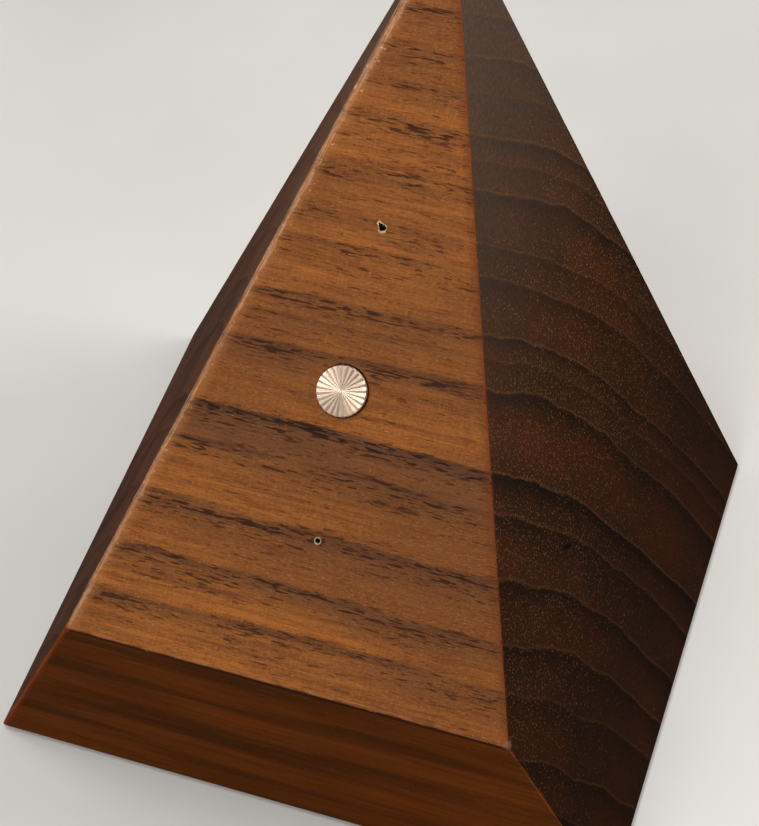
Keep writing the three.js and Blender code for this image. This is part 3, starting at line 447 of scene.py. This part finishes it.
def brass_disc():
    g = G('champagne_brass')
    q = g.vm('SUBTRACT', g.P, tuple(KNOB_P))
    a = g.vm('DOT_PRODUCT', q, (1, 0, 0)); b_ = g.vm('DOT_PRODUCT', q, (0, math.cos(SLOPE), math.sin(SLOPE)))
    r = g.m('SQRT', g.add(g.mul(a, a), g.mul(b_, b_)))
    th = g.m('ARCTAN2', b_, a)
    brush = g.noise(g.comb(g.mul(th, 26.0), g.mul(r, .5), 0.0), detail=3, rough=.6)       # fine marks along the flutes
    n2 = g.noise(g.stretch(1.6, 1.6, 1.6, (2, 2, 2)), detail=3)
    s1 = g.noise(g.vm('ADD', g.comb(g.mul(g.add(g.mul(a, .80), g.mul(b_, .60)), .9), g.mul(g.add(g.mul(a, -.60), g.mul(b_, .80)), 17.0), 0.0), (4.1, 1.3, 0)), detail=1)
    s2 = g.noise(g.vm('ADD', g.comb(g.mul(g.add(g.mul(a, .35), g.mul(b_, -.94)), 1.1), g.mul(g.add(g.mul(a, .94), g.mul(b_, .35)), 15.0), 0.0), (9.1, 6.3, 0)), detail=1)
    sc = g.m('MAXIMUM', g.step(s1, .71, .76), g.step(s2, .72, .77))
    col = g.mix(g.step(n2, .3, .7), srgb(232, 211, 192), srgb(222, 199, 178))
    col = g.mix(g.mul(g.step(brush, .35, .75), .22), col, srgb(204, 180, 156))
    col = g.mix(g.mul(sc, .16), col, srgb(170, 136, 110))
    rough = g.add(.47, g.mul(g.sub(brush, .5), .14), g.mul(sc, .08), g.mul(g.sub(n2, .5), .08))
    g.shade(col, rough, metal=1.0, normal=g.bump(g.add(g.mul(brush, .35), g.mul(sc, -.35)), .000015, .5))
    return g.mat

def clear_acrylic():
    g = G('clear_acrylic')
    n = g.noise(g.stretch(.5, .5, .5), detail=2)
    g.shade(srgb(240, 246, 246), g.add(.05, g.mul(n, .08)), trans=.92, ior=1.49, normal=g.bump(n, .00002, .4))
    return g.mat

MATS = {
    'walnut': walnut('walnut_oiled', 0.05), 'brass_disc': brass_disc(), 'circuit_board': circuit_board(), 'clear_acrylic': clear_acrylic(),
    'black_plastic': plastic('black_moulded', (34, 33, 33), (42, 41, 40), rough=.56, grain=.30, depth=.00007),
    'moulded_black': plastic('black_part', (26, 26, 28), (34, 34, 36), rough=.42, grain=.22, depth=.00003),
    'white_plastic': plastic('natural_nylon', (214, 208, 190), (202, 194, 172), rough=.40, grain=.6, depth=.00003),
    'lamp': plastic('milky_resin', (236, 234, 222), (224, 220, 204), rough=.22, grain=.8, depth=.00002),
    'cell_sleeve': plastic('cell_sleeve', (58, 62, 70), (46, 50, 58), rough=.3, grain=1.2, depth=.00002, spec=.5),
    'speaker_cone': plastic('cone_film', (38, 38, 41), (30, 30, 33), rough=.5, grain=.4, depth=.00004),
    'speaker_frame': plastic('basket_paint', (86, 88, 92), (74, 76, 80), rough=.38, grain=.25, depth=.00004, spec=.5),
    'lead_red': plastic('lead_red', (158, 28, 24), (142, 22, 20), rough=.45, grain=.5, depth=.00002),
    'lead_black': plastic('lead_black', (28, 28, 30), (36, 36, 38), rough=.45, grain=.5, depth=.00002),
    'steel_screw': metal('zinc_screw', (190, 190, 188), (168, 168, 166), rough=.30, stain=(120, 116, 108)),
    'steel': metal('plain_steel', (184, 184, 184), (160, 161, 163), rough=.26),
    'brass_insert': metal('turned_brass', (206, 168, 96), (186, 146, 78), rough=.30, stain=(140, 104, 54)),
    'nickel': metal('nickel', (214, 210, 200), (196, 192, 182), rough=.22),
    'magnet': metal('magnet_can', (150, 151, 154), (128, 130, 134), rough=.38),
    'rubber': rubber('foot_rubber'),
}
WALNUT_SHADE = walnut('walnut_oiled_sides', 0.006)
slot_of = {s["node"]: s["material_slot"] for s in frame["record"]["subparts"]}
for name, ob in frame["nodes"].items():
    m = MATS[slot_of[name]]
    if not ob.material_slots: ob.data.materials.append(m)
    for sl in ob.material_slots: sl.material = m

# ------------------------------------------------------------------ mesh helpers
def new_object(name, bm, scale=True):
    if scale: bmesh.ops.scale(bm, vec=(.001, .001, .001), verts=bm.verts)
    me = bpy.data.meshes.new(name)
    bm.to_mesh(me); bm.free()
    ob = bpy.data.objects.new(name, me)
    bpy.context.collection.objects.link(ob)
    return ob

def hull_bm(pts):
    bm = bmesh.new()
    for p in pts: bm.verts.new(p)
    bmesh.ops.convex_hull(bm, input=bm.verts)
    bmesh.ops.dissolve_limit(bm, angle_limit=math.radians(.5), verts=bm.verts, edges=bm.edges)
    bmesh.ops.recalc_face_normals(bm, faces=bm.faces)
    return bm

def lathe_bm(profile, seg, M=None, wob=None):
    """closed solid of revolution about Z; profile from the axis, up, back to the axis"""
    bm = bmesh.new()
    rings = []
    for r, z in profile:
        if r < 1e-6: rings.append([bm.verts.new((0, 0, z))])
        else:
            rings.append([bm.verts.new((r * (1 + (wob(2 * math.pi * i / seg) if wob else 0)) * math.cos(2 * math.pi * i / seg),
                                        r * (1 + (wob(2 * math.pi * i / seg) if wob else 0)) * math.sin(2 * math.pi * i / seg), z)) for i in range(seg)])
    for a, b in zip(rings, rings[1:]):
        for i in range(seg):
            j = (i + 1) % seg
            q = [a[0]] if len(a) == 1 else [a[i], a[j]]
            w = [b[0]] if len(b) == 1 else [b[j], b[i]]
            if len(q) + len(w) >= 3: bm.faces.new(q + w)
    bmesh.ops.recalc_face_normals(bm, faces=bm.faces)
    if M is not None: bmesh.ops.transform(bm, matrix=M, verts=bm.verts)
    return bm

def apply_mods(ob):
    bpy.context.view_layer.update()
    dg = bpy.context.evaluated_depsgraph_get()
    me = bpy.data.meshes.new_from_object(ob.evaluated_get(dg), depsgraph=dg)
    ob.modifiers.clear()
    old = ob.data
    ob.data = me
    bpy.data.meshes.remove(old)

def cut(ob, bm):
    c = new_object("cutter", bm)
    md = ob.modifiers.new("cut", 'BOOLEAN'); md.operation = 'DIFFERENCE'; md.solver = 'EXACT'; md.object = c
    apply_mods(ob)
    me = c.data
    bpy.data.objects.remove(c); bpy.data.meshes.remove(me)

def finish_mesh(ob, mat, angle=32.0):
    ob.data.materials.clear(); ob.data.materials.append(mat)
    for p in ob.data.polygons: p.use_smooth = True; p.material_index = 0
    ob.data.set_sharp_from_angle(angle=math.radians(angle))
    md = ob.modifiers.new("wn", 'WEIGHTED_NORMAL'); md.keep_sharp = True; md.weight = 60
    apply_mods(ob)

# ------------------------------------------------------------------ the block, hand-eased
def build_block():
    z0 = STAND
    pts = {'bfl': (-HALF_W, -HALF_D, z0), 'bfr': (HALF_W, -HALF_D, z0), 'brl': (-HALF_W, HALF_D, z0), 'brr': (HALF_W, HALF_D, z0),
           'tl': tuple(P5), 'tr': tuple(P6), 'ap': tuple(APEX)}
    bm = hull_bm(pts.values())
    # eased edges: the left crease is rubbed widest, the lower edges least
    lay = bm.edges.layers.float.new('bevel_weight_edge')
    def near(v, p): return (v.co - Vector(pts[p])).length < 1e-3
    want = {('tl', 'ap'): .62, ('tr', 'ap'): .30, ('tl', 'tr'): .38, ('bfl', 'tl'): .42, ('bfr', 'tr'): .42, ('brl', 'ap'): .45, ('brr', 'ap'): .45,
            ('bfl', 'bfr'): .35, ('bfl', 'brl'): .35, ('bfr', 'brr'): .35, ('brl', 'brr'): .35}
    for e in bm.edges:
        for (a, b), w in want.items():
            if (near(e.verts[0], a) and near(e.verts[1], b)) or (near(e.verts[0], b) and near(e.verts[1], a)): e[lay] = w
    ob = new_object("walnut_block", bm)
    md = ob.modifiers.new("ease", 'BEVEL'); md.limit_method = 'WEIGHT'; md.width = .001; md.segments = 4; md.profile = .5; md.use_clamp_overlap = True
    apply_mods(ob)
    # cross cuts, so that the eased edges can wander a little, as hand sanding leaves them
    bm = bmesh.new(); bm.from_mesh(ob.data)
    def cuts(lo, hi, step, axis):
        k = lo
        while k < hi:
            co = [0, 0, 0]; co[axis] = k * .001; no = [0, 0, 0]; no[axis] = 1
            bmesh.ops.bisect_plane(bm, geom=bm.verts[:] + bm.edges[:] + bm.faces[:], plane_co=co, plane_no=no, dist=1e-7)
            k += step
    cuts(3.37, 115, 2.3, 2); cuts(-42.1, 43, 4.1, 1); cuts(-50.2, 51, 4.3, 0)
    edges_mm = [(Vector(pts[a]), Vector(pts[b]), w) for (a, b), w in want.items()]
    for v in bm.verts:
        p = v.co * 1000
        best = None
        for A, B, w in edges_mm:
            u = (B - A).normalized(); t = max(0, min((B - A).length, (p - A).dot(u))); d = (p - (A + u * t)).length
            if best is None or d < best[0]: best = (d, w)
        d, w = best
        if d < 1.3 and p.z > STAND + .8:
            n = mnoise.noise(p * 0.23) * .5 + mnoise.noise(p * 0.9 + Vector((5, 5, 5))) * .3
            k = max(0.0, n) * 0.16 * (1 - d / 1.3) * (w / .5)
            c = Vector((0, 8, 45))
            v.co -= (p - c).normalized() * k * .001
    bm.to_mesh(ob.data); bm.free()
    # hollow, rebate and bores, as in the CAD
    side_wall, end_wall, face_wall, top = 8.0, 9.0, 8.0, 84.0
    sin_ = lambda z: side_x(z) - side_wall / math.cos(LEAN)
    yi = HALF_D - end_wall
    drop = face_wall / math.cos(SLOPE)
    zf = BAND_H + (-yi + HALF_D) * math.tan(SLOPE) - drop
    yt = -HALF_D + (top + drop - BAND_H) / math.tan(SLOPE)
    # hollow above the corner bosses, and the plus-shaped lower part between them
    zb = 14.0
    up = [(sx * sin_(zb), sy * yi, zb) for sx in (-1, 1) for sy in (-1, 1)] + [(sx * sin_(zf), -yi, zf) for sx in (-1, 1)] + \
         [(sx * sin_(top), y, top) for sx in (-1, 1) for y in (yt, yi)]
    def lift(ps): return [(x, y, z + STAND) for x, y, z in ps]
    cut(ob, hull_bm(lift(up)))
    cut(ob, hull_bm(lift([(sx * 31.0, sy * yi, z) for sx in (-1, 1) for sy in (-1, 1) for z in (-1.0, zb + .01)])))
    cut(ob, hull_bm(lift([(sx * sin_(z), sy * 24.0, z) for sx in (-1, 1) for sy in (-1, 1) for z in (-1.0, zb + .01)])))
    def rounded(hx, hy, r, za, zc):
        ps = []
        for sx, sy, a0 in ((1, -1, -90), (1, 1, 0), (-1, 1, 90), (-1, -1, 180)):
            for i in range(9):
                a = math.radians(a0 + 90 * i / 8)
                ps.append((sx * (hx - r) + r * math.cos(a), sy * (hy - r) + r * math.sin(a)))
        return [(x, y, z) for x, y in ps for z in (za, zc)]
    cut(ob, hull_bm(lift(rounded(46.0, 38.0, 4.0, -1.0, 3.0))))
    for sx in (-1, 1):
        for sy in (-1, 1):
            cut(ob, lathe_bm([(0, 2), (2.3, 2), (2.3, 10), (0, 10)], 28, Matrix.Translation((sx * 37, sy * 30, STAND))))
    F = FACE_M
    at = lambda y, x=0.0: F @ Matrix.Translation((x, y, 0))
    cut(ob, lathe_bm([(0, -.8), (3.99, -.8), (3.99, -.08), (4.04, 0.03), (4.04, 1), (0, 1)], 64, F))
    cut(ob, lathe_bm([(0, -10), (3.12, -10), (3.12, -.5), (0, -.5)], 36, F))
    def wob(a): return .13 * math.sin(2 * a + .6) + .07 * math.sin(3 * a + 2.0) + .04 * math.sin(7 * a)
    cut(ob, lathe_bm([(0, -3), (.42, -3), (.42, -.5), (.56, -.12), (.74, .05), (.8, .5), (0, .5)], 40, at(UPPER_S - KNOB_S, UPPER_X - KNOB_X), wob))
    cut(ob, lathe_bm([(0, -3), (.34, -3), (.34, -.3), (.40, -.06), (.47, .05), (.47, .5), (0, .5)], 36, at(LOWER_S - KNOB_S, LOWER_X - KNOB_X)))
    cut(ob, lathe_bm([(0, -1.6), (.20, -1.2), (.30, -.3), (.34, .05), (.36, .5), (0, .5)], 28, at(UPPER_S - KNOB_S + .30, UPPER_X - KNOB_X - .26)))
    cut(ob, lathe_bm([(0, -.9), (.10, -.5), (.17, .0), (.20, .5), (0, .5)], 20, at(UPPER_S - KNOB_S + .56, UPPER_X - KNOB_X - .50)))
    for y, x in ((UPPER_S - KNOB_S, UPPER_X - KNOB_X), (LOWER_S - KNOB_S, LOWER_X - KNOB_X)):
        cut(ob, lathe_bm([(0, -10), (1.68, -10), (1.68, -2), (0, -2)], 28, at(y, x)))
    for x, y in ((-17, -26.7), (17, -26.7), (-7.5, 15.3), (7.5, 15.3)):
        cut(ob, lathe_bm([(0, -10), (1.36, -10), (1.36, -3.6), (0, -3.6)], 20, at(y, x)))
    finish_mesh(ob, MATS['walnut'])
    ob.data.materials.append(WALNUT_SHADE)
    for p in ob.data.polygons:
        if p.normal.dot(NF) < .93: p.material_index = 1
    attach(ob, "case"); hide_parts("walnut_body")
    return ob
block = build_block()

# ------------------------------------------------------------------ the fluted brass disc
def build_disc():
    R, Z0, Z1, N = 3.86, 0.1, 1.1, 24
    per = 16
    seg = N * per
    bm = bmesh.new()
    def wave(i):
        f = (i % per) / per
        t = abs(2 * f - 1)                      # 1 on a ridge, 0 in a valley
        return (1 - math.cos(math.pi * t)) / 2 * .35 + t * .65
    radii = [.16, .45, .9, 1.4, 1.9, 2.4, 2.85, 3.2, 3.45, 3.62, 3.72]
    rings = []
    for r in radii:
        depth = .24 * min(1, (r / 3.3)) * min(1.0, max(0.0, (r - .05) / .6))
        fall = max(0.0, (r - 3.45) / .3) ** 2 * .05
        row = []
        for i in range(seg):
            w = wave(i); a = 2 * math.pi * i / seg
            row.append(bm.verts.new((r * math.cos(a), r * math.sin(a), Z1 - (1 - w) * depth - fall * w)))
        rings.append(row)
    for r, z, sc in ((3.80, Z1 - .16, .045), (R, Z1 - .30, .05), (R, Z0 + .34, .05), (R - .03, Z0 + .12, .03), (R - .14, Z0, 0.0)):
        row = []
        for i in range(seg):
            w = wave(i); a = 2 * math.pi * i / seg
            rr = r - (1 - w) ** 1.5 * sc
            zz = z - ((1 - w) * .13 if r == 3.80 else (1 - w) * .06 if z > .7 else 0)
            row.append(bm.verts.new((rr * math.cos(a), rr * math.sin(a), zz)))
        rings.append(row)
    for a, b in zip(rings, rings[1:]):
        for i in range(seg):
            j = (i + 1) % seg
            bm.faces.new((a[i], b[i], b[j], a[j]))
    c = bm.verts.new((0, 0, Z1 - .08))
    for i in range(seg): bm.faces.new((c, rings[0][i], rings[0][(i + 1) % seg]))
    bm.faces.new(list(reversed(rings[-1])))
    bmesh.ops.recalc_face_normals(bm, faces=bm.faces)
    bmesh.ops.transform(bm, matrix=FACE_M, verts=bm.verts)
    ob = new_object("fluted_disc", bm)
    finish_mesh(ob, MATS['brass_disc'], angle=24.0)
    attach(ob, "knob"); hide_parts("tempo_knob")
build_disc()

# ------------------------------------------------------------------ the pieces below, with their moulded and turned edges
def build_underside():
    def rounded(hx, hy, r, x=0.0, y=0.0, seg=10):
        ps = []
        for sx, sy, a0 in ((1, -1, -90), (1, 1, 0), (-1, 1, 90), (-1, -1, 180)):
            for i in range(seg + 1):
                a = math.radians(a0 + 90 * i / seg)
                ps.append((x + sx * (hx - r) + r * math.cos(a), y + sy * (hy - r) + r * math.sin(a)))
        return ps
    def prism(ps, z0, z1): return hull_bm([(x, y, z + STAND) for x, y in ps for z in (z0, z1)])
    def box(x0, x1, y0, y1, z0, z1): return hull_bm([(x, y, z + STAND) for x in (x0, x1) for y in (y0, y1) for z in (z0, z1)])
    def at(x, y, z=0.0): return Matrix.Translation((x, y, z))
    def soften(ob, width, angle=50, segments=2):
        md = ob.modifiers.new("soft", 'BEVEL'); md.limit_method = 'ANGLE'; md.angle_limit = math.radians(angle)
        md.width = width * .001; md.segments = segments; md.use_clamp_overlap = True
        apply_mods(ob)
    def give(ob, body, node, mat, angle=35):
        finish_mesh(ob, mat, angle=angle)
        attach(ob, body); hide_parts(node)
    # base plate
    plate = new_object("moulded_base", prism(rounded(45.7, 37.7, 3.7), .4, 2.95))
    for dy, half in ((-8, 6), (-4, 9), (0, 10), (4, 9), (8, 6)):
        cut(plate, prism(rounded(half, 1.0, .98, 0, -13 + dy), -1, 5))
    cut(plate, box(20.1, 27.9, -19.5, -16.5, -1, 5))
    cut(plate, box(-24.6, 24.6, 6.4, 30.0, -1, 5))
    cut(plate, prism(rounded(7, 1.9, 1.85, 0, 5.2), -1, 1.5))
    for sx in (-1, 1):
        for sy in (-1, 1):
            cut(plate, lathe_bm([(0, -1), (3.05, -1), (3.05, .39), (1.66, 1.85), (1.62, 1.86), (1.62, 5), (0, 5)], 40, at(sx * 37, sy * 30, STAND)))
            cut(plate, lathe_bm([(0, -1), (5.15, -1), (5.15, .95), (0, .95)], 48, at(sx * 39, sy * 19, STAND)))
    soften(plate, .14)
    Rx = Matrix.Translation((0, 28.4, 1.4 + STAND)) @ Matrix.Rotation(math.radians(90), 4, 'Y')
    cut(plate, lathe_bm([(0, -26.1), (.92, -26.1), (.92, 26.1), (0, 26.1)], 24, Rx))
    give(plate, "case", "base_plate", MATS['black_plastic'])
    # battery door with its pegs, tongue and finger ribs
    door = new_object("moulded_door", box(-24.2, 24.2, 6.85, 28.3, .4, 2.4))
    for dx in (-6, -3, 0, 3, 6): cut(door, prism(rounded(.5, 1.8, .49, dx, 10.2, 6), -.6, .75))
    soften(door, .14)
    bm = bmesh.new(); bm.from_mesh(door.data)
    for part in (lathe_bm([(0, -24.18), (.85, -24.18), (.99, -24.04), (.99, 24.04), (.85, 24.18), (0, 24.18)], 32, Rx),
                 lathe_bm([(0, -25.68), (.60, -25.68), (.74, -25.5), (.74, 25.5), (.60, 25.68), (0, 25.68)], 24, Rx),
                 box(-4.95, 4.95, 6.58, 7.1, 1.72, 2.38)):
        tmp = bpy.data.meshes.new("t"); bmesh.ops.scale(part, vec=(.001, .001, .001), verts=part.verts); part.to_mesh(tmp); part.free()
        bm.from_mesh(tmp); bpy.data.meshes.remove(tmp)
    bm.to_mesh(door.data); bm.free()
    give(door, "battery_cover", "battery_door", MATS['black_plastic'])
    k = 0
    for sy in (-1, 1):
        for sx in (-1, 1):
            k += 1
            foot = new_object("ringed_foot_%d" % k, lathe_bm([(0, .30), (2.3, .30), (2.6, .22), (2.9, .04), (3.05, 0), (4.45, 0), (4.72, .06), (4.93, .25), (5.0, .5), (5.0, 1.9), (0, 1.9)], 56, at(sx * 39, sy * 19)))
            give(foot, "case", "foot_%d" % k, MATS['rubber'])
            screw = new_object("socket_screw_%d" % k, lathe_bm([(0, .45), (2.5, .45), (2.62, .49), (2.67, .58), (1.42, 1.8), (1.42, 9.2), (1.0, 9.6), (0, 9.6)], 40, at(sx * 37, sy * 30, STAND)))
            hexa = hull_bm([(sx * 37 + 1.0 * math.cos(math.radians(60 * i + 11 * k)), sy * 30 + 1.0 * math.sin(math.radians(60 * i + 11 * k)), z + STAND) for i in range(6) for z in (-.5, 1.55)])
            cut(screw, hexa)
            soften(screw, .05, angle=60)
            give(screw, "case", "base_screw_%d" % k, MATS['steel_screw'])
build_underside()

# ------------------------------------------------------------------ floor and light
def build_stage():
    bm = bmesh.new()
    bmesh.ops.create_grid(bm, x_segments=8, y_segments=8, size=2.5)
    me = bpy.data.meshes.new("floor"); bm.to_mesh(me); bm.free()
    floor = bpy.data.objects.new("floor", me); bpy.context.collection.objects.link(floor)
    g = G('pale_floor')
    n = g.noise(g.stretch(60, 60, 60), detail=4)
    n2 = g.noise(g.stretch(1.2, 1.2, 1.2), detail=3)
    col = g.mix(g.step(n, .3, .7), srgb(205, 203, 199), srgb(211, 209, 206))
    g.shade(col, g.add(.62, g.mul(n2, .1)), normal=g.bump(n2, .00003, .4), spec=.2)
    floor.data.materials.append(g.mat)
    w = bpy.data.worlds.new("studio"); bpy.context.scene.world = w; w.use_nodes = True
    w.node_tree.nodes['Background'].inputs[0].default_value = (.93, .95, 1.0, 1)
    w.node_tree.nodes['Background'].inputs[1].default_value = WORLD
    def area(name, loc, target, size, power, color=(1, 1, 1), size_y=None):
        l = bpy.data.lights.new(name, 'AREA'); l.energy = power; l.color = color; l.size = size
        if size_y: l.shape = 'RECTANGLE'; l.size_y = size_y
        o = bpy.data.objects.new(name, l); bpy.context.collection.objects.link(o)
        o.location = loc
        d = Vector(target) - Vector(loc)
        o.rotation_euler = d.to_track_quat('-Z', 'Y').to_euler()
        o.visible_camera = False
        return o
    c = (0, 0, .05)
    area("key", (-.28, -.62, .62), c, .55, KEY, (1, .985, .96))
    area("fill_left", (-.75, .05, .40), c, .5, FILL, (1, .95, .88))
    area("top_soft", (-.07, -.04, .50), (0, -.01, .08), .26, TOP, (1, .99, .97))
    area("rim", (.17, .09, .25), (.02, .01, .08), .12, RIM, (1, .96, .92))
    area("back_soft", (.25, .75, .55), c, .5, BACK, (1, 1, 1))
WORLD, KEY, FILL, TOP, RIM, BACK = .21, 3.5, .8, 1.1, .40, 1.4
build_stage()
